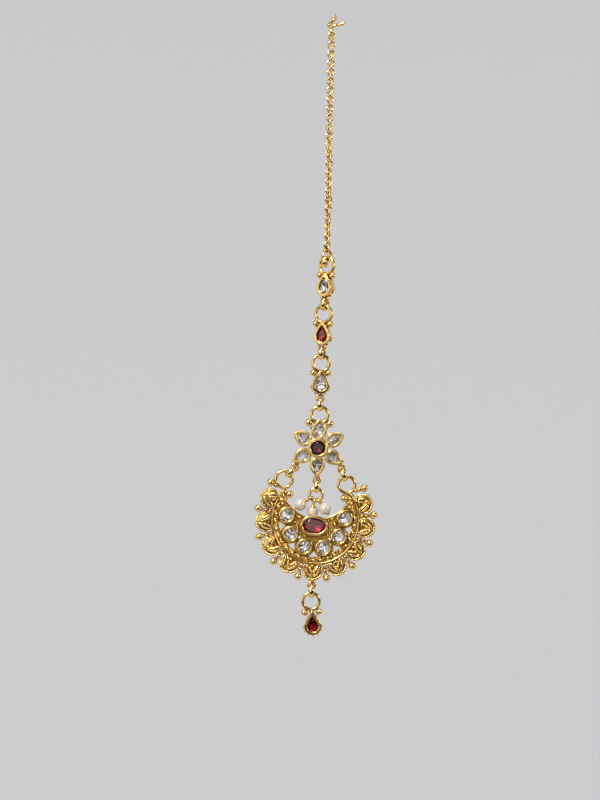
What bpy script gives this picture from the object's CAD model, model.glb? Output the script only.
import bmesh
import bpy
import math
import numpy as np
from mathutils import Matrix, Vector


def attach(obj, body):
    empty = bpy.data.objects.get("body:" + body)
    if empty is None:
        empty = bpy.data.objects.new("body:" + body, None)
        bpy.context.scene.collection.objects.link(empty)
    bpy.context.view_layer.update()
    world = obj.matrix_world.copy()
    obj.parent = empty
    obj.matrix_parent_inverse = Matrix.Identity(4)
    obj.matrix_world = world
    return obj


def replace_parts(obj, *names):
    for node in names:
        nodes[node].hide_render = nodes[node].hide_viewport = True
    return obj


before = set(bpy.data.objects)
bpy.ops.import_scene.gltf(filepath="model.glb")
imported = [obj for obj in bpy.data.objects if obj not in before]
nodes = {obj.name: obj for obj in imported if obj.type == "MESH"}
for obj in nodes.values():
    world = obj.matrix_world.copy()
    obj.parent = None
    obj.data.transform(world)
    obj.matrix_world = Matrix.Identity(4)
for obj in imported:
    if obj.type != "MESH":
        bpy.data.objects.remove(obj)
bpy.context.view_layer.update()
MM = 0.001


# ---------------------------------------------------------------- frames of the pieces (millimetres)
def face_frame(x, z, y=0.0, roll=0.0, yaw=0.0):
    """Matrix of a piece that faces the viewer: local x right, local y up, local z towards the viewer."""
    r, w = math.radians(roll), math.radians(yaw)
    across = Vector((math.cos(w), -math.sin(w), 0))
    out = Vector((-math.sin(w), -math.cos(w), 0))
    right = across * math.cos(r) + Vector((0, 0, 1)) * math.sin(r)
    up = out.cross(right)
    m = Matrix((right, up, out)).transposed().to_4x4()
    m.translation = (x, y, z)
    return m


CRESCENT = face_frame(0.12, -139.59, 0, -1.4)
FLOWER = face_frame(0.12, -119.40, 0, -1.0)
DROP = face_frame(-0.35, -162.05, 0, 6.0)
STRAND = {
    "upper": face_frame(0.80, -68.75, 0, -1.5, 34.0),
    "middle": face_frame(0.36, -82.25, 0, -0.5, 18.0),
    "lower": face_frame(0.12, -95.90, 0, 0.5, -4.0),
}
PEAR_5X3 = dict(radius=1.65, point=3.15, lift=17.0)
PEAR_4X3 = dict(radius=1.45, point=2.60, lift=14.0)
WALL_5X3, WALL_4X3 = 0.80, 0.70
RIM, FLOOR = 1.15, -0.55


# ---------------------------------------------------------------- materials
def new_material(name):
    m = bpy.data.materials.new(name)
    m.use_nodes = True
    nt = m.node_tree
    nt.nodes.clear()
    out = nt.nodes.new("ShaderNodeOutputMaterial")
    bsdf = nt.nodes.new("ShaderNodeBsdfPrincipled")
    nt.links.new(bsdf.outputs[0], out.inputs["Surface"])
    return m, nt, bsdf


def noise(nt, scale, detail=3.0, rough=0.5):
    """Noise in object space; scale is per millimetre."""
    tc = nt.nodes.new("ShaderNodeTexCoord")
    n = nt.nodes.new("ShaderNodeTexNoise")
    n.inputs["Scale"].default_value = scale * 1000
    n.inputs["Detail"].default_value = detail
    n.inputs["Roughness"].default_value = rough
    nt.links.new(tc.outputs["Object"], n.inputs["Vector"])
    return n.outputs["Fac"]


def ramp(nt, fac, stops):
    r = nt.nodes.new("ShaderNodeValToRGB")
    r.color_ramp.interpolation = "LINEAR"
    while len(r.color_ramp.elements) < len(stops):
        r.color_ramp.elements.new(0.5)
    for e, (p, c) in zip(r.color_ramp.elements, stops):
        e.position = p
        e.color = (*c, 1) if len(c) == 3 else c
    nt.links.new(fac, r.inputs[0])
    return r.outputs[0]


def mix(nt, fac, a, b, mode="MIX"):
    n = nt.nodes.new("ShaderNodeMix")
    n.data_type = "RGBA"
    n.blend_type = mode
    n.clamp_factor = True
    for sock, v in (("Factor", fac), ("A", a), ("B", b)):
        i = {"Factor": 0, "A": 6, "B": 7}[sock]
        if hasattr(v, "links") or isinstance(v, bpy.types.NodeSocket):
            nt.links.new(v, n.inputs[i])
        elif isinstance(v, (int, float)):
            n.inputs[i].default_value = v
        else:
            n.inputs[i].default_value = (*v, 1)
    return n.outputs[2]


def maths(nt, op, a, b=0.0, c=0.0, clamp=False):
    n = nt.nodes.new("ShaderNodeMath")
    n.operation = op
    n.use_clamp = clamp
    for k, v in enumerate((a, b, c)):
        if isinstance(v, bpy.types.NodeSocket):
            nt.links.new(v, n.inputs[k])
        else:
            n.inputs[k].default_value = v
    return n.outputs[0]


def bump(nt, bsdf, height, distance, strength=1.0):
    b = nt.nodes.new("ShaderNodeBump")
    b.inputs["Strength"].default_value = strength
    b.inputs["Distance"].default_value = distance
    nt.links.new(height, b.inputs["Height"])
    nt.links.new(b.outputs[0], bsdf.inputs["Normal"])


def gold(name, bright=(0.98, 0.69, 0.255), deep=(0.76, 0.40, 0.07), dark=(0.085, 0.026, 0.004), reach=1.0, rough=(0.14, 0.30), dirt=(0.28, 0.60)):
    """Antique gold plate: bright where it is rubbed, brown oxide where the ambient occlusion is deep."""
    m, nt, b = new_material(name)
    ao = nt.nodes.new("ShaderNodeAmbientOcclusion")
    ao.samples = 8
    ao.inputs["Distance"].default_value = reach * MM
    cloudy = noise(nt, 0.55, 2.0)
    fine = noise(nt, 4.0, 4.0, 0.6)
    patina = nt.nodes.new("ShaderNodeAttribute")
    patina.attribute_name = "patina"
    open_ = maths(nt, "ADD", ao.outputs["AO"], maths(nt, "MULTIPLY", maths(nt, "SUBTRACT", fine, 0.5), 0.22), clamp=True)
    open_ = maths(nt, "SUBTRACT", open_, maths(nt, "MULTIPLY", patina.outputs["Fac"], 0.75), clamp=True)
    plate = mix(nt, ramp(nt, cloudy, [(0.35, (0, 0, 0)), (0.65, (1, 1, 1))]), deep, bright)
    plate = mix(nt, ramp(nt, open_, [(dirt[1], (0, 0, 0)), (0.93, (1, 1, 1))]), deep, mix(nt, 0.75, plate, bright))
    colour = mix(nt, ramp(nt, open_, [(dirt[0], (0, 0, 0)), (dirt[1], (1, 1, 1))]), dark, plate)
    nt.links.new(colour, b.inputs["Base Color"])
    b.inputs["Metallic"].default_value = 1.0
    rub = ramp(nt, open_, [(dirt[0], (0.62,) * 3), (dirt[1] + 0.1, (rough[1],) * 3), (0.98, (rough[0],) * 3)])
    r = maths(nt, "ADD", rub, maths(nt, "MULTIPLY", maths(nt, "SUBTRACT", fine, 0.5), 0.16), clamp=True)
    nt.links.new(r, b.inputs["Roughness"])
    surface = maths(nt, "ADD", maths(nt, "MULTIPLY", noise(nt, 0.42, 1.5), 2.6), maths(nt, "MULTIPLY", noise(nt, 2.2, 5.0, 0.62), 0.9))
    bump(nt, b, surface, 0.040 * MM, 0.60)
    return m


GOLD = gold("antique_gold")
GOLD_WIRE = gold("gold_wire", bright=(0.98, 0.70, 0.275), deep=(0.80, 0.44, 0.09), reach=0.7, rough=(0.12, 0.25), dirt=(0.22, 0.50))
GOLD_PLATE = gold("gold_plate", bright=(0.98, 0.69, 0.255), deep=(0.76, 0.42, 0.08), reach=1.5, rough=(0.14, 0.28), dirt=(0.30, 0.64))
GOLD_LEAF = gold("gold_leaf", bright=(0.98, 0.72, 0.29), deep=(0.88, 0.54, 0.14), dark=(0.10, 0.034, 0.005), reach=0.50, rough=(0.13, 0.24), dirt=(0.16, 0.36))
GOLD_RELIEF = gold("gold_relief", bright=(0.98, 0.69, 0.235), deep=(0.72, 0.36, 0.055), reach=0.90, rough=(0.14, 0.25), dirt=(0.30, 0.60))


def gem_glass(name, colour, ior=1.54):
    """Cut glass over a foiled back."""
    m, nt, b = new_material(name)
    veil = noise(nt, 1.3, 2.0)
    tint = mix(nt, veil, tuple(c * 0.86 for c in colour), colour)
    nt.links.new(tint, b.inputs["Base Color"])
    b.inputs["Transmission Weight"].default_value = 1.0
    b.inputs["IOR"].default_value = ior
    b.inputs["Roughness"].default_value = 0.0
    return m


def gem_foil(name, light, dark, glow):
    """Foil seen through the stone; each pavilion facet keeps its own brightness in the attribute 'facet'."""
    m, nt, b = new_material(name)
    a = nt.nodes.new("ShaderNodeAttribute")
    a.attribute_name = "facet"
    f = maths(nt, "ADD", a.outputs["Fac"], maths(nt, "MULTIPLY", maths(nt, "SUBTRACT", noise(nt, 2.5, 2.0), 0.5), 0.25), clamp=True)
    nt.links.new(mix(nt, f, dark, light), b.inputs["Base Color"])
    b.inputs["Metallic"].default_value = 0.45
    b.inputs["Roughness"].default_value = 0.25
    lit = ramp(nt, f, [(0.45, (0, 0, 0)), (1.0, light)])
    nt.links.new(lit, b.inputs["Emission Color"])
    b.inputs["Emission Strength"].default_value = glow
    return m


CRYSTAL = gem_glass("crystal_glass", (0.99, 0.985, 0.98), 1.36)
CRYSTAL_FOIL = gem_foil("crystal_foil", (1.0, 0.965, 0.93), (0.105, 0.09, 0.10), 0.55)
RUBY = gem_glass("ruby_glass", (0.86, 0.11, 0.19), 1.6)
GARNET = gem_glass("garnet_glass", (0.52, 0.035, 0.09), 1.45)
GARNET_FOIL = gem_foil("garnet_foil", (0.60, 0.10, 0.20), (0.10, 0.012, 0.03), 0.0)
RUBY_FOIL = gem_foil("ruby_foil", (1.0, 0.34, 0.44), (0.20, 0.02, 0.04), 0.30)

PEARL, nt, b = new_material("pearl")
cloud = noise(nt, 0.45, 3.0)
speck = noise(nt, 3.0, 3.0)
base = mix(nt, cloud, (0.66, 0.58, 0.46), (0.80, 0.74, 0.63))
base = mix(nt, ramp(nt, speck, [(0.35, (0, 0, 0)), (0.7, (1, 1, 1))]), mix(nt, 0.22, base, (0.84, 0.73, 0.64)), base)
nt.links.new(base, b.inputs["Base Color"])
b.inputs["Roughness"].default_value = 0.20
b.inputs["Subsurface Weight"].default_value = 0.15
b.inputs["Subsurface Radius"].default_value = (0.0008, 0.0006, 0.0004)
b.inputs["Coat Weight"].default_value = 1.0
b.inputs["Coat Roughness"].default_value = 0.05
b.inputs["Coat IOR"].default_value = 1.8
bump(nt, b, noise(nt, 1.2, 2.0), 0.03 * MM, 0.4)


# ---------------------------------------------------------------- mesh helpers (millimetres in, metres out)
def piece(name, verts, faces, body, materials, smooth=True, matrix=None, face_material=None, facet=None, outward=True, patina=None):
    me = bpy.data.meshes.new(name)
    m = matrix or Matrix.Identity(4)
    me.from_pydata([tuple((m @ Vector(v)) * MM) for v in verts], [], faces)
    if outward:
        bm = bmesh.new()
        bm.from_mesh(me)
        bmesh.ops.recalc_face_normals(bm, faces=bm.faces)
        bm.to_mesh(me)
        bm.free()
    for mat in materials:
        me.materials.append(mat)
    me.polygons.foreach_set("use_smooth", [smooth] * len(me.polygons))
    if face_material:
        me.polygons.foreach_set("material_index", face_material)
    if facet:
        a = me.attributes.new("facet", "FLOAT", "FACE")
        a.data.foreach_set("value", facet)
    if patina:
        a = me.attributes.new("patina", "FLOAT", "POINT")
        a.data.foreach_set("value", patina)
    me.update()
    o = bpy.data.objects.new(name, me)
    bpy.context.scene.collection.objects.link(o)
    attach(o, body)
    return o


class Soup:
    """Gathers many small meshes into one; p is the patina of each vertex."""

    def __init__(self):
        self.v, self.f, self.p = [], [], []

    def add(self, verts, faces, matrix=None, patina=None):
        n = len(self.v)
        self.p += list(patina) if patina else [0.0] * len(verts)
        self.v += [tuple(matrix @ Vector(v)) if matrix else tuple(v) for v in verts]
        self.f += [tuple(i + n for i in f) for f in faces]

    def torus(self, matrix, major, minor, seg=40, sides=12, squeeze=1.0):
        v, f = [], []
        for i in range(seg):
            a = 2 * math.pi * i / seg
            for j in range(sides):
                c = 2 * math.pi * j / sides
                r = major + minor * math.cos(c)
                v.append((r * math.cos(a), r * math.sin(a) * squeeze, minor * math.sin(c)))
        for i in range(seg):
            for j in range(sides):
                k, l = (i + 1) % seg, (j + 1) % sides
                f.append((i * sides + j, k * sides + j, k * sides + l, i * sides + l))
        self.add(v, f, matrix)

    def ball(self, centre, radius, seg=12, rings=7, matrix=None, flat=1.0):
        x, y, z = centre
        v, f = [(x, y, z + radius * flat)], []
        for i in range(1, rings):
            t = math.pi * i / rings
            for j in range(seg):
                a = 2 * math.pi * j / seg
                v.append((x + radius * math.sin(t) * math.cos(a), y + radius * math.sin(t) * math.sin(a), z + radius * flat * math.cos(t)))
        v.append((x, y, z - radius * flat))
        for j in range(seg):
            f.append((0, 1 + j, 1 + (j + 1) % seg))
            last = 1 + (rings - 2) * seg
            f.append((last + j, len(v) - 1, last + (j + 1) % seg))
        for i in range(rings - 2):
            for j in range(seg):
                a0, a1 = 1 + i * seg + j, 1 + i * seg + (j + 1) % seg
                f.append((a0, a0 + seg, a1 + seg, a1))
        self.add(v, f, matrix)

    def wire(self, points, radius, sides=8, matrix=None, taper=True):
        """A wire along points that lie roughly in the local xy plane, with rounded ends."""
        pts = [Vector(p) for p in points]
        v, f = [], []
        n = len(pts)
        for i, p in enumerate(pts):
            d = (pts[min(i + 1, n - 1)] - pts[max(i - 1, 0)]).normalized()
            side = d.cross(Vector((0, 0, 1))).normalized()
            up = side.cross(d).normalized()
            r = radius
            if taper:
                e = min(i, n - 1 - i) / max(1, (n - 1) / 2)
                r = radius * (0.25 + 0.75 * min(1.0, math.sqrt(e * 2.2)))
            for j in range(sides):
                c = 2 * math.pi * j / sides
                v.append(p + side * r * math.cos(c) + up * r * math.sin(c))
        for i in range(n - 1):
            for j in range(sides):
                l = (j + 1) % sides
                f.append((i * sides + j, i * sides + l, (i + 1) * sides + l, (i + 1) * sides + j))
        f.append(tuple(range(sides)))
        f.append(tuple(reversed(range((n - 1) * sides, n * sides))))
        self.add(v, f, matrix)


def out(angle, radius, centre=(0.0, 0.0)):
    a = math.radians(angle)
    return (centre[0] + radius * math.sin(a), centre[1] - radius * math.cos(a))


# ---------------------------------------------------------------- chain
LINK_R, LINK_WIRE, LINKS = 0.90, 0.54, 48
links = Soup()
top, end = Vector((-0.24, 0.03, -4.93)), Vector((0.68, 0.0, -64.25))
for k in range(LINKS):
    t = k / (LINKS - 1)
    c = top.lerp(end, t) + Vector((0.10 * math.sin(math.pi * t) + 0.05 * math.sin(9 * t + 1), 0.04 * math.sin(13 * t), 0))
    azimuth = math.radians(90 + 90 * k + 38 * t + (7 * math.sin(1.9 * k) if 0 < k < LINKS - 1 else 0))
    normal = Vector((math.cos(azimuth), math.sin(azimuth), 0.10 * math.sin(2.3 * k))).normalized()
    m = normal.to_track_quat("Z", "Y").to_matrix().to_4x4()
    m.translation = c
    links.torus(m, LINK_R, LINK_WIRE / 2, 32, 12)
chain = piece("chain_links", links.v, links.f, "strand", [GOLD_WIRE])
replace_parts(chain, "chain")


# ---------------------------------------------------------------- stones
def pear_arcs(radius, point, lift, grow=0.0):
    a = math.radians(lift)
    d = (point**2 - radius**2) / (2 * (radius - point * math.sin(a)))
    big = d + radius
    cx, cy = -d * math.cos(a), -d * math.sin(a)
    r, big = radius + grow, big + grow
    tip = cy + math.sqrt(big**2 - cx**2)
    return r, big, (cx, cy), (r * math.cos(a), r * math.sin(a)), tip


def pear_outline(shape, grow, side=5, bottom=9):
    """Points anticlockwise, the first at the tip."""
    r, big, (cx, cy), (tx, ty), tip = pear_arcs(**shape, grow=grow)
    a0, a1 = math.atan2(ty - cy, tx - cx), math.atan2(tip - cy, -cx)
    right = [(cx + big * math.cos(a1 + (a0 - a1) * k / side), cy + big * math.sin(a1 + (a0 - a1) * k / side)) for k in range(1, side + 1)]
    lift = math.atan2(ty, tx)
    low = [(r * math.cos(lift - (math.pi + 2 * lift) * k / bottom), r * math.sin(lift - (math.pi + 2 * lift) * k / bottom)) for k in range(1, bottom)]
    ring = [(0, tip)] + right + low + [(-x, y) for x, y in reversed(right)]
    return list(reversed(ring))


def oval_outline(w, h, n, turn=0.5):
    return [(w / 2 * math.cos(2 * math.pi * (k + turn) / n), h / 2 * math.sin(2 * math.pi * (k + turn) / n)) for k in range(n)]


def cut_stone(name, outline, matrix, body, ruby, low, girdle, table, table_share, node, seed, tones=(0.12, 0.40, 0.70, 1.0)):
    """Crown of star and kite facets, glass pavilion, and a foil cup with its own facets just under it."""
    n = len(outline)
    cx = sum(p[0] for p in outline) / n
    cy = sum(p[1] for p in outline) / n

    def ring(share, z, turn=0.0):
        pts = []
        for k in range(n):
            a, b_ = outline[k], outline[(k + 1) % n]
            x, y = a[0] + (b_[0] - a[0]) * turn, a[1] + (b_[1] - a[1]) * turn
            pts.append((cx + (x - cx) * share, cy + (y - cy) * share, z))
        return pts

    mid = (1 + table_share) / 2
    levels = [
        ring(table_share, table),
        ring(mid + 0.03, girdle + (table - girdle) * 0.58, 0.5),
        ring(1.0, girdle),
        ring(0.99, girdle - 0.10),
        ring(0.60, girdle - 0.10 - (girdle - 0.10 - low) * 0.50, 0.5),
    ]
    v = [p for l in levels for p in l]
    v.append((cx, cy, low))
    f = [tuple(range(n))]
    for i in range(len(levels) - 1):
        for k in range(n):
            a, b_ = i * n + k, i * n + (k + 1) % n
            c, d = (i + 1) * n + k, (i + 1) * n + (k + 1) % n
            if i in (0,):  # table to half-turned ring
                f += [(a, c, b_), (b_, c, d)]
            elif i == 1:  # half-turned ring to girdle
                f += [(a, c, d), (a, d, b_)]
            elif i == 2:
                f.append((a, c, d, b_))
            else:
                f += [(a, c, b_), (b_, c, d)]
    last = (len(levels) - 1) * n
    for k in range(n):
        f.append((last + k, len(v) - 1, last + (k + 1) % n))
    glass = piece(name, v, f, body, [(GARNET if node == "flower_ruby" else RUBY) if ruby else CRYSTAL], smooth=False, matrix=matrix)
    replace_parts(glass, node)
    # foil: open cup a hair below the pavilion, with alternating facets
    rng = np.random.default_rng(seed)
    fl = [ring(1.0, girdle - 0.13), ring(0.66, girdle - 0.14 - (girdle - low) * 0.44, 0.5), ring(0.30, low + 0.02), ]
    fv = [p for l in fl for p in l] + [(cx + 0.06, cy - 0.05, low - 0.015)]
    ff, val = [], []
    for i in range(2):
        for k in range(n):
            a, b_ = i * n + k, i * n + (k + 1) % n
            c, d = (i + 1) * n + k, (i + 1) * n + (k + 1) % n
            if i == 0:
                ff += [(a, c, b_), (b_, c, d)]
            else:
                ff += [(a, c, d), (a, d, b_)]
            pick = rng.choice(tones, 2) if i else 0.35 * rng.choice(tones, 2) + 0.65 * np.mean(tones)
            val += list(np.clip(pick + rng.normal(0, 0.04, 2), 0, 1))
    for k in range(n):
        ff.append((2 * n + k, len(fv) - 1, 2 * n + (k + 1) % n))
        val.append(float(rng.choice(tones)))
    for i, g in enumerate(ff):
        p0, p1, p2 = (Vector(fv[j]) for j in g[:3])
        if (p1 - p0).cross(p2 - p0).z < 0:
            ff[i] = tuple(reversed(g))
    foil = piece(name + "_foil", fv, ff, body, [(GARNET_FOIL if node == "flower_ruby" else RUBY_FOIL) if ruby else CRYSTAL_FOIL], smooth=False, matrix=matrix, facet=[float(x) for x in val], outward=False)
    return glass, foil


STONE_GROW = -0.05
cup_point = pear_arcs(**PEAR_5X3, grow=WALL_5X3)[4] - 0.12
for seed, (name, drop, ruby, body, m) in enumerate((
    ("pear_stone_upper", 2.05, False, "strand", STRAND["upper"]),
    ("pear_stone_middle", 2.05, True, "strand", STRAND["middle"]),
    ("pear_stone_lower", 2.05, False, "strand", STRAND["lower"]),
    ("drop_stone", 2.85, True, "pendant", DROP),
)):
    at = m @ Matrix.Translation((0, -drop - cup_point, 0))
    cut_stone("cut_" + name, pear_outline(PEAR_5X3, STONE_GROW), at, body, ruby, FLOOR + 0.08, 0.26, 0.72, 0.60, name, 11 + seed, (0.02, 0.07, 0.15, 0.42) if name == "drop_stone" else (0.05, 0.15, 0.32, 0.75) if ruby else (0.14, 0.48, 0.80, 1.0))
PETAL_OUT = 4.62
for k in range(6):
    a = 90 + 60 * k
    at = FLOWER @ Matrix.Rotation(math.radians(a - 90), 4, "Z") @ Matrix.Translation((0, PETAL_OUT, 0))
    cut_stone(f"cut_petal_stone_{k + 1}", pear_outline(PEAR_4X3, STONE_GROW), at, "pendant", False, FLOOR + 0.08, 0.28, 0.74, 0.60, f"petal_stone_{k + 1}", 31 + k, (0.10, 0.20, 0.45, 0.80) if k == 3 else (0.14, 0.48, 0.80, 1.0))
cut_stone("cut_flower_ruby", oval_outline(4.20, 4.20, 16), FLOWER, "pendant", True, FLOOR + 0.08, 0.42, 0.86, 0.70, "flower_ruby", 51, (0.10, 0.35, 0.60, 1.0))
ROUND_STONES = [(-8.05, 1.08), (-6.72, -4.10), (-2.62, -7.38), (2.62, -7.38), (6.72, -4.10), (8.05, 1.08)]
for k, (x, y) in enumerate(ROUND_STONES):
    cut_stone(f"cut_crescent_stone_{k + 1}", oval_outline(3.40, 3.40, 12, 0.5 + 0.13 * k), CRESCENT @ Matrix.Translation((x, y, 0)), "pendant", False, FLOOR + 0.08, 0.18, 0.62, 0.56, f"crescent_stone_{k + 1}", 61 + k)
OVAL = CRESCENT @ Matrix.Translation((-0.30, -1.39, 0)) @ Matrix.Rotation(math.radians(-2.0), 4, "Z")
cut_stone("cut_crescent_ruby", oval_outline(6.50, 4.50, 20), OVAL, "pendant", True, -0.05, 0.62, 1.06, 0.74, "crescent_ruby", 71, (0.26, 0.36, 0.46, 0.62))


# ---------------------------------------------------------------- collet mouths pushed over the stones
def mouth(soup, outline_at, rim, reach, matrix):
    """Rolled inner edge of a collet; outline_at(grow) is the opening's outline grown by that much."""
    profile = [(0.21, -0.09), (0.15, -0.005), (0.05, -0.012), (-0.35 * reach, -0.06), (-0.75 * reach, -0.15), (-reach, -0.29), (-0.92 * reach, -0.40), (0.05, -0.50)]
    rings = [[(x, y, rim + dz) for x, y in outline_at(grow)] for grow, dz in profile]
    n, k = len(rings[0]), len(rings)
    soup.add([p for r in rings for p in r], [(i * n + j, i * n + (j + 1) % n, (i + 1) % k * n + (j + 1) % n, (i + 1) % k * n + j) for i in range(k) for j in range(n)], matrix)


def round_mouth(w, h, n=64):
    return lambda grow: oval_outline(w + 2 * grow, h + 2 * grow, n)


def pear_mouth(shape):
    return lambda grow: pear_outline(shape, grow, 16, 30)


mouths = {"strand": Soup(), "pendant": Soup()}
for body, m in (("strand", STRAND["upper"]), ("strand", STRAND["middle"]), ("strand", STRAND["lower"]), ("pendant", DROP)):
    mouth(mouths[body], pear_mouth(PEAR_5X3), RIM, 0.16, m @ Matrix.Translation((0, -(2.85 if m is DROP else 2.05) - cup_point, 0)))
for k in range(6):
    mouth(mouths["pendant"], pear_mouth(PEAR_4X3), RIM, 0.20, FLOWER @ Matrix.Rotation(math.radians(60 * k), 4, "Z") @ Matrix.Translation((0, PETAL_OUT, 0)))
mouth(mouths["pendant"], round_mouth(4.30, 4.30), 1.35, 0.20, FLOWER)
for x, y in ROUND_STONES:
    mouth(mouths["pendant"], round_mouth(3.50, 3.50), RIM, 0.22, CRESCENT @ Matrix.Translation((x, y, 0)))
mouth(mouths["pendant"], round_mouth(6.60, 4.60), 1.45, 0.20, OVAL)
for body, soup in mouths.items():
    piece("collet_mouths_" + body, soup.v, soup.f, body, [GOLD])


# ---------------------------------------------------------------- jump rings: short wide links of half-round wire
def wide_ring(soup, matrix, major, radial, half_width, toward=None, seg=64, sides=18):
    """A ring wider than it is thick, drawn in where it passes the small loop that lies toward it."""
    v, f = [], []
    neck = matrix.to_3x3().inverted() @ toward if toward else Vector((1, 0, 0))
    neck = math.atan2(neck.y, neck.x)
    for i in range(seg):
        a = 2 * math.pi * i / seg
        off = abs(math.degrees((a - neck + math.pi) % (2 * math.pi) - math.pi))
        w = min(1.0, max(0.0, (off - 20.0) / 30.0))
        half = 0.50 + (half_width - 0.50) * w * w * (3 - 2 * w) if toward else half_width
        for j in range(sides):
            c = 2 * math.pi * j / sides
            r = major + radial * math.cos(c)
            v.append((r * math.cos(a), r * math.sin(a), half * math.sin(c)))
    for i in range(seg):
        for j in range(sides):
            k, l = (i + 1) % seg, (j + 1) % sides
            f.append((i * sides + j, k * sides + j, k * sides + l, i * sides + l))
    soup.add(v, f, matrix)


def axis_of(o):
    """Centre and axis of a ring, from its own mesh, in millimetres."""
    pts = np.array([tuple(o.matrix_world @ v.co) for v in o.data.vertices]) / MM
    mid = pts.mean(0)
    turn = np.linalg.svd(pts - mid, full_matrices=False)[2]
    local = (pts - mid) @ turn.T
    centre = mid + ((local.min(0) + local.max(0)) / 2) @ turn
    return Vector(centre), Vector(turn[2])


for name, body, lean in (("upper", "strand", 0), ("middle", "strand", 0), ("pendant", "pendant_link", 0), ("left", "pendant", 40), ("right", "pendant", -20), ("center", "pendant", 1), ("drop", "pendant", 0)):
    centre, axis = axis_of(nodes["jump_ring_" + name])
    if axis.x < 0:
        axis = -axis
    m = axis.to_track_quat("Z", "Y").to_matrix().to_4x4()
    m.translation = centre
    link = Soup()
    wide_ring(link, m, 1.55, 0.455, 0.78, Vector((math.sin(math.radians(lean)), 0, math.cos(math.radians(lean)))))
    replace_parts(piece("wide_link_" + name, link.v, link.f, body, [GOLD_WIRE]), "jump_ring_" + name)


# the chain's end ring and the first setting are also bound by a short bent link, one end of which stands off
bound = Soup()
m = Vector((math.cos(math.radians(-12)), math.sin(math.radians(-12)), 0.05)).to_track_quat("Z", "Y").to_matrix().to_4x4()
m.translation = (0.22, -0.35, -67.78)
wide_ring(bound, m, 1.28, 0.40, 0.68)
bound.wire([(1.05 + 1.9 * t / 10, -0.62 - 0.25 * t / 10, -67.30 + 0.62 * math.sin(t / 10 * 1.3)) for t in range(11)], 0.34, 12)
piece("binding_link", bound.v, bound.f, "strand", [GOLD_WIRE])


# ---------------------------------------------------------------- leaves of the crescent's border
def arc3(a, b, c, n):
    """n points along the circle through a, b, c, without the last."""
    (ax, ay), (bx, by), (cx, cy) = a, b, c
    d = 2 * (ax * (by - cy) + bx * (cy - ay) + cx * (ay - by))
    ux = ((ax * ax + ay * ay) * (by - cy) + (bx * bx + by * by) * (cy - ay) + (cx * cx + cy * cy) * (ay - by)) / d
    uy = ((ax * ax + ay * ay) * (cx - bx) + (bx * bx + by * by) * (ax - cx) + (cx * cx + cy * cy) * (bx - ax)) / d
    r = math.hypot(ax - ux, ay - uy)
    t0, t1, t2 = (math.atan2(p[1] - uy, p[0] - ux) for p in (a, b, c))
    if not (t0 <= t1 <= t2 or t0 >= t1 >= t2):
        for k in (-1, 0, 1):
            for l in (-1, 0, 1):
                u1, u2 = t1 + 2 * math.pi * k, t2 + 2 * math.pi * l
                if (t0 < u1 < u2 or t0 > u1 > u2) and abs(u2 - t0) < 2 * math.pi:
                    t1, t2 = u1, u2
                    break
            else:
                continue
            break
    return [(ux + r * math.cos(t0 + (t2 - t0) * k / n), uy + r * math.sin(t0 + (t2 - t0) * k / n)) for k in range(n)]


LEAF = dict(tip=(2.80, -14.30), crown=(0, -16.80), side=(2.55, -13.05), lobe=(1.60, -12.05), inner=(0.80, -12.90), notch=(0, -13.65), heart=(0, -14.55))
LEAF_ANGLES = [-112.6, -85.2, -56.6, -28.2, 0.0, 28.2, 56.6, 85.2, 112.6]


def bezier(a, b_, c, t):
    return tuple((1 - t) ** 2 * a[i] + 2 * t * (1 - t) * b_[i] + t * t * c[i] for i in (0, 1))


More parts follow.
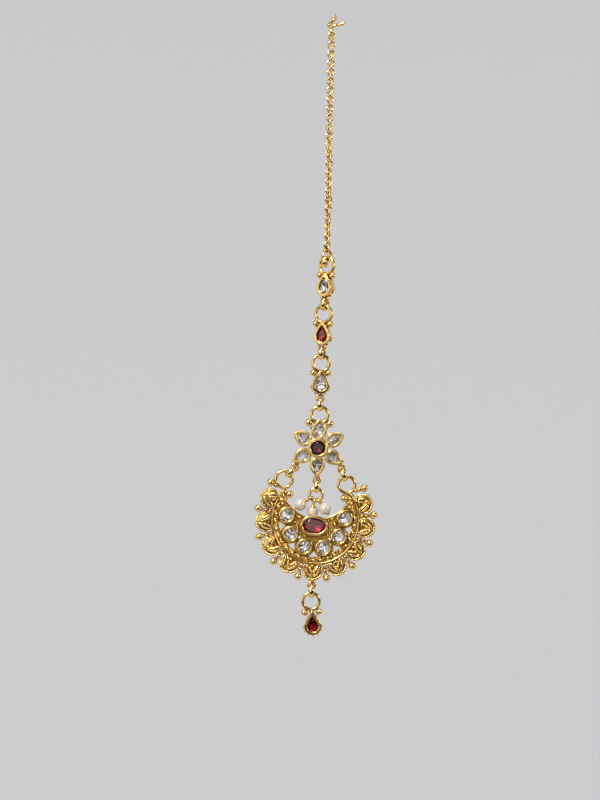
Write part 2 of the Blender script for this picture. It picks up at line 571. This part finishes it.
def leaf_mesh(soup, matrix, seed):
    """A half-round leaf: a notched rim outside, two grooved lobes that part in a V, and a plate in the notch."""
    rng = np.random.default_rng(100 + seed)

    def q(name, s=1):
        return (s * LEAF[name][0], LEAF[name][1])

    # rim: runs from one lobe round the crown to the other
    side = arc3(q("lobe"), q("side"), q("tip"), 12)
    crown = arc3(q("tip"), q("crown"), q("tip", -1), 72)
    other = [(-x, y) for x, y in reversed(side)]
    path = side + crown + [q("tip", -1)] + other
    hx, hy = 0.0, -14.10
    n = len(path)
    cut = [0.0]
    for i in range(1, n):
        cut.append(cut[-1] + math.dist(path[i - 1], path[i]))
    total = cut[-1]
    v, f, sides, rim_patina = [], [], 11, []
    for i, (x, y) in enumerate(path):
        d = math.hypot(x - hx, y - hy)
        ux, uy = (x - hx) / d, (y - hy) / d
        share = math.sin(math.pi * cut[i] / total)
        w = 0.26 + 0.62 * share**1.2
        tick = ((cut[i] - total / 2) / 0.47 + 0.5) % 1.0 - 0.5
        dent = 0.13 * math.exp(-((tick / 0.16) ** 2)) * (0.3 + 0.7 * share)
        for j in range(sides):
            c = math.pi * (j / (sides - 1))
            along = 0.06 - w * (1 - math.cos(c)) / 2
            z = 0.10 + (0.42 + 0.30 * share) * math.sin(c) ** 0.7 - dent * math.sin(c) + (0.22 if j == sides - 1 else 0)
            if j == 0:
                z = -0.05
            v.append((x + ux * along, y + uy * along, z))
            rim_patina.append(min(1.0, dent * 3.5 * math.sin(c) + (0.8 if j == sides - 1 else 0.0)))
        v.append((x + ux * 0.03, y + uy * 0.03, -0.62))
        rim_patina.append(0.3)
    step_ = sides + 1
    for i in range(n - 1):
        for j in range(sides - 1):
            f.append((i * step_ + j, (i + 1) * step_ + j, (i + 1) * step_ + j + 1, i * step_ + j + 1))
        f.append((i * step_ + sides, (i + 1) * step_ + sides, (i + 1) * step_, i * step_))
    soup.add(v, [tuple(reversed(g)) for g in f], matrix, rim_patina)
    # lobes
    rows, cols = 30, 24
    for s in (-1, 1):
        a = (0.04 * s, -15.98)
        tip = (1.82 * s, -12.14)
        outer, inner = (2.95 * s, -14.75), (0.04 * s, -11.95)
        jit = rng.normal(0, 0.02, 2)
        v, f, pat = [], [], []
        for i in range(rows + 1):
            u = i / rows
            ox, oy = bezier(a, outer, tip, u)
            ix, iy = bezier(a, inner, tip, u)
            env = max(0.0, math.sin(math.pi * min(1, u**0.9))) ** 0.45
            slit = min(1.0, max(0.0, (u - 0.12) / 0.15)) * min(1.0, max(0.0, (0.93 - u) / 0.12))
            for j in range(cols + 1):
                w = 2 * j / cols - 1
                x, y = ix + (ox - ix) * (w + 1) / 2, iy + (oy - iy) * (w + 1) / 2
                dome = math.sqrt(max(0.0, 1 - w * w))
                cutting = math.exp(-(((w + 0.05) / (0.20 - 0.06 * u)) ** 2)) * slit
                groove = 0.46 * cutting
                veins = 0.035 * math.cos(2 * math.pi * (7.5 * u - 1.3 * abs(w))) * env * dome
                z = 0.28 + 0.10 * env + (0.90 + jit[0]) * dome * (0.25 + 0.75 * env) * (1 - groove) + veins
                if j in (0, cols) or i in (0, rows):
                    z = 0.05
                v.append((x, y, z))
                pat.append(min(1.0, 1.0 * cutting**2 + 0.6 * max(0.0, (abs(w) - 0.90) / 0.10)))
        for i in range(rows):
            for j in range(cols):
                g = (i * (cols + 1) + j, i * (cols + 1) + j + 1, (i + 1) * (cols + 1) + j + 1, (i + 1) * (cols + 1) + j)
                f.append(g if s < 0 else tuple(reversed(g)))
        soup.add(v, f, matrix, pat)
    # plate in the notch, a little below the lobes
    top, bottom = -0.02, -0.60
    outline = [(-1.75, -12.22), (-0.9, -12.10), (0.9, -12.10), (1.75, -12.22), (0.55, -14.1), (-0.55, -14.1)]
    v = [(x, y, top) for x, y in outline] + [(x, y, bottom) for x, y in outline]
    k = len(outline)
    f = [tuple(reversed(range(k))), tuple(range(k, 2 * k))] + [(i, (i + 1) % k, (i + 1) % k + k, i + k) for i in range(k)]
    soup.add(v, f, matrix, [0.12] * len(v))
    soup.ball((0, -12.85, -0.02), 0.26, 14, 8, matrix)


leaves = Soup()
for k, a in enumerate(LEAF_ANGLES):
    leaf_mesh(leaves, Matrix.Rotation(math.radians(a), 4, "Z"), k)
piece("border_leaves", leaves.v, leaves.f, "pendant", [GOLD_LEAF], matrix=CRESCENT, patina=leaves.p)

# ---------------------------------------------------------------- granulation and filigree of the crescent
BAND_R = 10.98
BAND_ANGLES = [-118 + 236 * k / 22 for k in range(23)]
HORN_GRAINS = [(9.30, 4.15, 0.52), (8.75, 5.35, 0.48), (9.75, 5.35, 0.50), (9.25, 6.45, 0.50), (9.60, 7.45, 0.45), (4.55, 0.62, 0.50), (5.55, -0.80, 0.46), (4.75, -2.55, 0.40), (2.60, -4.55, 0.40), (0.0, -4.85, 0.42)]
BALL_ANGLES = [-126.9, -98.7, -70.5, -42.3, -14.1, 14.1, 42.3, 70.5, 98.7, 126.9]
grains = [(*out(a, BAND_R), 0.62) for a in BAND_ANGLES] + [(s * x, y, r) for x, y, r in HORN_GRAINS for s in ((1, -1) if x else (1,))]
filigree = Soup()
for k, (x, y, r) in enumerate(grains):
    band = k < len(BAND_ANGLES)
    ring_r, ring_w = (r + 0.13, 0.17) if band else (r + 0.11, 0.13)
    filigree.torus(Matrix.Translation((x, y, 0.16 if band else 0.10)), ring_r, ring_w, 30, 8)
for a, b_ in zip(BAND_ANGLES, BAND_ANGLES[1:]):
    for radius, size in ((BAND_R - 0.50, 0.24), (BAND_R + 0.42, 0.20), (BAND_R - 0.04, 0.21)):
        filigree.ball((*out((a + b_) / 2, radius), 0.16), size, 12, 7)
for a in BALL_ANGLES:
    # collar where the ball meets its stem
    d = Vector((*out(a, 1.0), 0))
    m = d.to_track_quat("Z", "Y").to_matrix().to_4x4()
    m.translation = (*out(a, 15.30), 0.02)
    if a in BALL_ANGLES[1:-1]:
        filigree.torus(m, 0.42, 0.16, 22, 8)
        for s_ in (-1, 1):
            filigree.ball((*out(a + s_ * 2.3, 12.62), 0.10), 0.30, 14, 8)
            filigree.ball((*out(a + s_ * 1.9, 13.55), 0.02), 0.24, 12, 7)

HOLES = [(*out(a, 9.7), 1.35) for a in (-77.5, -39.3, 0.0, 39.3, 77.5)] + [(-4.30, -4.92, 0.55), (4.30, -4.92, 0.55)]
step = 0.60
placed = 0
for iy in range(-22, 17):
    for ix in range(-22, 23):
        x = (ix + (iy % 2) * 0.5) * step + 0.03 * math.sin(12.9 * ix + 4.1 * iy)
        y = iy * step * 0.866 + 0.03 * math.sin(7.7 * ix - 3.3 * iy)
        if math.hypot(x, y) > 11.42 or math.hypot(x, y - 10.30) < 10.45 or y > 7.5:
            continue
        if any(math.hypot(x - sx, y - sy) < 2.50 for sx, sy in ROUND_STONES):
            continue
        if ((x + 0.30) / 4.12) ** 2 + ((y + 1.39) / 3.12) ** 2 < 1:
            continue
        if any(math.hypot(x - gx, y - gy) < gr + 0.34 for gx, gy, gr in grains):
            continue
        if any(math.hypot(x - gx, y - gy) < gr for gx, gy, gr in HOLES):
            continue
        r = 0.19 + 0.05 * (0.5 + 0.5 * math.sin(5.1 * ix + 8.3 * iy))
        filigree.ball((x, y, 0.06), r, 10, 6)
        placed += 1
piece("crescent_filigree", filigree.v, filigree.f, "pendant", [GOLD_RELIEF], matrix=CRESCENT)
print("small grains", placed)

# ---------------------------------------------------------------- backs: raised borders, bosses and solder
def border(soup, outline, radius, z, matrix, share=1.0, centre=None, sides=8, closed=True):
    """A round wire laid along an outline in the local xy plane."""
    n = len(outline)
    cx, cy = centre or (sum(p[0] for p in outline) / n, sum(p[1] for p in outline) / n)
    pts = [Vector((cx + (x - cx) * share, cy + (y - cy) * share, z)) for x, y in outline]
    v, f = [], []
    for i, p in enumerate(pts):
        a_ = pts[(i - 1) % n] if closed or i else p
        b_ = pts[(i + 1) % n] if closed or i < n - 1 else p
        d = (b_ - a_).normalized()
        side = d.cross(Vector((0, 0, 1))).normalized()
        for j in range(sides):
            c = 2 * math.pi * j / sides
            v.append(p + side * radius * math.cos(c) + Vector((0, 0, radius * math.sin(c))))
    for i in range(n if closed else n - 1):
        k = (i + 1) % n
        for j in range(sides):
            l = (j + 1) % sides
            f.append((i * sides + j, i * sides + l, k * sides + l, k * sides + j))
    if not closed:
        f += [tuple(range(sides)), tuple(reversed(range((n - 1) * sides, n * sides)))]
    soup.add(v, f, matrix)


def circle(r, n=40):
    return [(r * math.cos(2 * math.pi * k / n), r * math.sin(2 * math.pi * k / n)) for k in range(n)]


backs = {"strand": Soup(), "pendant": Soup()}
rng = np.random.default_rng(7)


def boss(soup, matrix, outline, centre, back, rim_share, boss_r):
    border(soup, outline, 0.13, back - 0.01, matrix, rim_share, centre)
    soup.ball((centre[0], centre[1], back + 0.02), boss_r, 20, 8, matrix, 0.22)
    for _ in range(5):  # beads of solder left by the casting
        a_ = rng.uniform(0, 2 * math.pi)
        soup.ball((centre[0] + boss_r * 1.25 * math.cos(a_), centre[1] + boss_r * 1.25 * math.sin(a_), back), rng.uniform(0.07, 0.13), 10, 6, matrix, 0.6)


for name_, drop, body_, m_ in (("upper", 2.05, "strand", STRAND["upper"]), ("middle", 2.05, "strand", STRAND["middle"]), ("lower", 2.05, "strand", STRAND["lower"]), ("drop", 2.85, "pendant", DROP)):
    boss(backs[body_], m_ @ Matrix.Translation((0, -drop - cup_point, 0)), pear_outline(PEAR_5X3, 0.0, 8, 16), (0, 0), -1.0, 0.98, 0.75)
for k in range(6):
    m_ = FLOWER @ Matrix.Rotation(math.radians(60 * k), 4, "Z") @ Matrix.Translation((0, PETAL_OUT, 0))
    boss(backs["pendant"], m_, pear_outline(PEAR_4X3, 0.0, 8, 16), (0, 0), -1.0, 0.95, 0.60)
boss(backs["pendant"], FLOWER, circle(2.15), (0, 0), -1.0, 1.0, 0.85)
for x, y in ROUND_STONES:
    boss(backs["pendant"], CRESCENT @ Matrix.Translation((x, y, 0)), circle(1.75), (0, 0), -1.0, 1.0, 0.70)
leaf_outline = arc3(*(((-1) * LEAF["tip"][0], LEAF["tip"][1]), LEAF["crown"], LEAF["tip"]), 30)
leaf_outline += arc3(LEAF["tip"], LEAF["side"], LEAF["lobe"], 10) + [LEAF["lobe"], (0.9, -12.75), (0.0, -13.45), (-0.9, -12.75), (-LEAF["lobe"][0], LEAF["lobe"][1])]
leaf_outline += [(-x, y) for x, y in reversed(arc3(LEAF["tip"], LEAF["side"], LEAF["lobe"], 10))][:-1]
for a in LEAF_ANGLES:
    m_ = CRESCENT @ Matrix.Rotation(math.radians(a), 4, "Z")
    border(backs["pendant"], leaf_outline, 0.15, -0.76, m_, 0.84, (0, -14.3))
    border(backs["pendant"], [(0, -16.0), (0, -15.2), (0, -14.4), (0, -13.9)], 0.12, -0.76, m_, closed=False)
    for s_ in (-1, 1):
        border(backs["pendant"], [bezier((0, -15.7), (0.9 * s_, -15.0), (1.35 * s_, -13.5), t / 8) for t in range(9)], 0.11, -0.76, m_, closed=False)
edge = [out(a, 11.75) for a in np.linspace(-117, 117, 120)]
border(backs["pendant"], edge, 0.17, -0.77, CRESCENT, closed=False)
reach_ = math.degrees(math.asin(min(1.0, 8.9 / 10.05)))
hollow = [(10.05 * math.sin(math.radians(a)), 10.30 - 10.05 * math.cos(math.radians(a))) for a in np.linspace(-reach_, reach_, 70)]
border(backs["pendant"], [p for p in hollow if p[1] < 7.0], 0.15, -0.77, CRESCENT, closed=False)
for body_, soup in backs.items():
    piece("backs_" + body_, soup.v, soup.f, body_, [GOLD])

# ---------------------------------------------------------------- wire wraps and caps over the pearls
PEARL_RING = Vector((0.0, 0.55, -132.45))
wraps = Soup()
for centre, angle in (((-4.25, 0.55, -135.40), -57.0), ((-0.80, 2.15, -137.25), -12.0), ((2.62, 0.55, -136.26), 32.0)):
    pearl = Vector(centre)
    a = math.radians(angle)
    eye = PEARL_RING + Vector((2.25 * math.sin(a), 0, -2.25 * math.cos(a)))
    d = (eye - pearl).normalized()
    turn = d.to_track_quat("Z", "Y").to_matrix().to_4x4()
    room = (eye - pearl).length - 1.72
    turns = max(2, min(4, int(room / 0.27)))
    for k in range(turns):
        m = turn.copy()
        m.translation = pearl + d * (1.92 + 0.27 * k)
        wraps.torus(m, 0.40 - 0.02 * k, 0.15, 24, 8)
    m = turn.copy()
    m.translation = pearl + d * 1.66
    wraps.ball((0, 0, 0), 0.62, 18, 8, m, 0.30)
piece("pearl_wraps", wraps.v, wraps.f, "pendant", [GOLD_WIRE])


# ---------------------------------------------------------------- hair hook
def rounded(points, radii, n=12):
    """A polyline with its corners rounded by arcs."""
    pts = [Vector(p) for p in points]
    line = [pts[0]]
    for i in range(1, len(pts) - 1):
        a, b_, c = pts[i - 1], pts[i], pts[i + 1]
        u, w = (a - b_).normalized(), (c - b_).normalized()
        half = u.angle(w) / 2
        cutback = radii[i - 1] / math.tan(half)
        centre = b_ + (u + w).normalized() * (radii[i - 1] / math.sin(half))
        p, q_ = b_ + u * cutback, b_ + w * cutback
        e, g = p - centre, q_ - centre
        total = e.angle(g)
        for k in range(n + 1):
            t = k / n
            line.append(centre + (e * math.sin((1 - t) * total) + g * math.sin(t * total)) / math.sin(total))
    line.append(pts[-1])
    return line


def tube(soup, line, radius_at, sides=20, flat_at=None):
    """Tube along a line; radius_at(t) and the squeeze flat_at(t) take t from 0 to 1."""
    n = len(line)
    v, f = [], []
    lengths = [0.0]
    for i in range(1, n):
        lengths.append(lengths[-1] + (line[i] - line[i - 1]).length)
    d0 = (line[1] - line[0]).normalized()
    side = d0.orthogonal().normalized()
    for i in range(n):
        d = (line[min(i + 1, n - 1)] - line[max(i - 1, 0)]).normalized()
        side = (side - d * side.dot(d)).normalized()
        up_ = d.cross(side)
        t = lengths[i] / lengths[-1]
        r = radius_at(t)
        for j in range(sides):
            c = 2 * math.pi * j / sides
            v.append(line[i] + side * r * math.cos(c) + up_ * r * math.sin(c))
    for i in range(n - 1):
        for j in range(sides):
            l = (j + 1) % sides
            f.append((i * sides + j, i * sides + l, (i + 1) * sides + l, (i + 1) * sides + j))
    f.append(tuple(range(sides)))
    f.append(tuple(reversed(range((n - 1) * sides, n * sides))))
    soup.add(v, f)


hook = Soup()
route = rounded([(-0.28, -0.06, -3.05), (0.00, -2.45, 0.45), (1.45, 2.35, 0.45), (-2.95, 1.80, -2.95), (3.00, 0.55, -1.28)], [1.25, 1.20, 0.70], 16)
a_, b_ = route[-2], route[-1]
route = route[:-1] + [a_.lerp(b_, t / 14) for t in range(1, 15)]
direction = (b_ - a_).normalized()
for k in range(1, 8):
    route.append(b_ + direction * 0.46 * math.sin(k / 8 * math.pi / 2))
span = sum((q_ - p).length for p, q_ in zip(route, route[1:]))


def hook_radius(t):
    left = (1 - t) * span
    swell = 0.45 + 0.06 * smooth_step(3.2 - left, 0.0, 2.4)
    return swell * math.sqrt(max(0.03, 1 - max(0.0, 1 - left / 0.46) ** 2)) if left < 0.46 else swell


def smooth_step(x, a, b_):
    t = min(1.0, max(0.0, (x - a) / (b_ - a)))
    return t * t * (3 - 2 * t)


tube(hook, route, hook_radius)
m = Matrix.Rotation(math.radians(90), 4, "Y")
m.translation = (-0.25, 0.05, -3.78)
hook.torus(m, 0.90, 0.40, 44, 16)
# the eye is closed by a short lap of wire
for k in range(2):
    m = Matrix.Rotation(math.radians(8), 4, "X")
    m.translation = (-0.27, -0.14 - 0.10 * k, -2.62 + 0.36 * k)
    hook.torus(m, 0.50, 0.17, 28, 10)
hook_piece = piece("hook_wire", hook.v, hook.f, "strand", [GOLD_WIRE])
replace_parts(hook_piece, "hair_hook")

# ---------------------------------------------------------------- materials of the carried-over nodes
WIRES = ("hair_hook", "chain_ring", "jump_ring", "pearl_ring", "pearl_pin")
for name, o in nodes.items():
    if "stone" in name or "ruby" in name:
        continue
    if name in ("pearl_left", "pearl_middle", "pearl_right"):
        mat = PEARL
    elif name.startswith(WIRES):
        mat = GOLD_WIRE
    elif name == "crescent":
        mat = GOLD_PLATE
    else:
        mat = GOLD
    for s in o.material_slots:
        s.material = mat

# ---------------------------------------------------------------- stage, light and camera
stage_mat, nt, b = new_material("backdrop")
tc = nt.nodes.new("ShaderNodeTexCoord")
sep = nt.nodes.new("ShaderNodeSeparateXYZ")
nt.links.new(tc.outputs["Object"], sep.inputs[0])
shade = nt.nodes.new("ShaderNodeMapRange")
shade.interpolation_type = "SMOOTHSTEP"
for sock, value in (("From Min", -0.55), ("From Max", -0.22), ("To Min", 0.0), ("To Max", 1.0)):
    shade.inputs[sock].default_value = value
nt.links.new(sep.outputs["Y"], shade.inputs["Value"])
nt.links.new(mix(nt, shade.outputs[0], (0.05, 0.05, 0.05), (0.40, 0.40, 0.405)), b.inputs["Base Color"])
nt.links.new(mix(nt, shade.outputs[0], (0.005, 0.005, 0.005), (0.37, 0.37, 0.375)), b.inputs["Emission Color"])
b.inputs["Emission Strength"].default_value = 1.0
b.inputs["Roughness"].default_value = 0.95
FLOOR_Z, ROOM, SWEEP = -0.60, 1.30, 0.45
profile = [(0.001, FLOOR_Z), (0.4, FLOOR_Z), (ROOM - SWEEP, FLOOR_Z)]
profile += [(ROOM - SWEEP + SWEEP * math.sin(t / 12 * math.pi / 2), FLOOR_Z + SWEEP * (1 - math.cos(t / 12 * math.pi / 2))) for t in range(1, 13)]
profile += [(ROOM, 0.3), (ROOM, 1.0)]
SEG = 72
me = bpy.data.meshes.new("floor")
me.from_pydata(
    [(r * math.cos(2 * math.pi * k / SEG), r * math.sin(2 * math.pi * k / SEG), z) for r, z in profile for k in range(SEG)],
    [],
    [(i * SEG + k, i * SEG + (k + 1) % SEG, (i + 1) * SEG + (k + 1) % SEG, (i + 1) * SEG + k) for i in range(len(profile) - 1) for k in range(SEG)] + [tuple(range(SEG))],
)
me.materials.append(stage_mat)
me.polygons.foreach_set("use_smooth", [True] * len(me.polygons))
floor = bpy.data.objects.new("floor", me)
bpy.context.scene.collection.objects.link(floor)

scene = bpy.context.scene
world = bpy.data.worlds.new("studio")
scene.world = world
world.use_nodes = True
wn = world.node_tree
wn.nodes.clear()
wo = wn.nodes.new("ShaderNodeOutputWorld")
bg = wn.nodes.new("ShaderNodeBackground")
tc = wn.nodes.new("ShaderNodeTexCoord")
sep = wn.nodes.new("ShaderNodeSeparateXYZ")
cr = wn.nodes.new("ShaderNodeValToRGB")
wn.links.new(tc.outputs["Generated"], sep.inputs[0])
mr = wn.nodes.new("ShaderNodeMapRange")
mr.inputs["From Min"].default_value = -1
mr.inputs["From Max"].default_value = 1
wn.links.new(sep.outputs["Z"], mr.inputs["Value"])
wn.links.new(mr.outputs[0], cr.inputs[0])
cr.color_ramp.elements[0].position = 0.42
cr.color_ramp.elements[0].color = (0.02, 0.018, 0.016, 1)
cr.color_ramp.elements[1].position = 0.90
cr.color_ramp.elements[1].color = (0.95, 0.96, 1.0, 1)
wn.links.new(cr.outputs[0], bg.inputs["Color"])
bg.inputs["Strength"].default_value = 0.32
wn.links.new(bg.outputs[0], wo.inputs["Surface"])

TARGET = Vector((-0.00535, 0.0, -0.1063))


def area(name, offset, size, watts, colour=(1, 1, 1), size_y=None):
    light = bpy.data.lights.new(name, "AREA")
    light.energy = watts
    light.color = colour
    light.size = size
    if size_y:
        light.shape = "RECTANGLE"
        light.size_y = size_y
    o = bpy.data.objects.new(name, light)
    o.location = TARGET + Vector(offset)
    o.rotation_mode = "QUATERNION"
    o.rotation_quaternion = (-Vector(offset)).to_track_quat("-Z", "Y")
    scene.collection.objects.link(o)
    return o


area("key", (-0.30, -0.55, 0.50), 0.24, 5.0, (1.0, 0.985, 0.96))
area("front_softbox", (-0.24, -0.76, 0.10), 0.56, 1.00, (1.0, 0.99, 0.97), 0.40)
area("left_strip", (-0.66, -0.36, 0.04), 0.30, 0.46, (1.0, 0.99, 0.97), 0.50)
area("fill", (0.50, -0.40, 0.18), 0.20, 0.8, (0.97, 0.98, 1.0))
area("top", (0.05, -0.05, 0.60), 0.30, 1.0, (1.0, 1.0, 1.0), 0.20)

cam_data = bpy.data.cameras.new("camera")
DISTANCE = 0.60
cam_data.sensor_width = 36
cam_data.lens = 36 * DISTANCE / 0.2222
cam_data.clip_start, cam_data.clip_end = 0.01, 10
cam = bpy.data.objects.new("camera", cam_data)
roll = math.radians(2.0)
right = Vector((math.cos(roll), 0, math.sin(roll)))
up = Vector((-math.sin(roll), 0, math.cos(roll)))
m = Matrix((right, up, Vector((0, -1, 0)))).transposed().to_4x4()
m.translation = TARGET + Vector((0, -DISTANCE, 0))
cam.matrix_world = m
scene.collection.objects.link(cam)
scene.camera = cam
scene.view_settings.view_transform = "Standard"
scene.view_settings.look = "None"
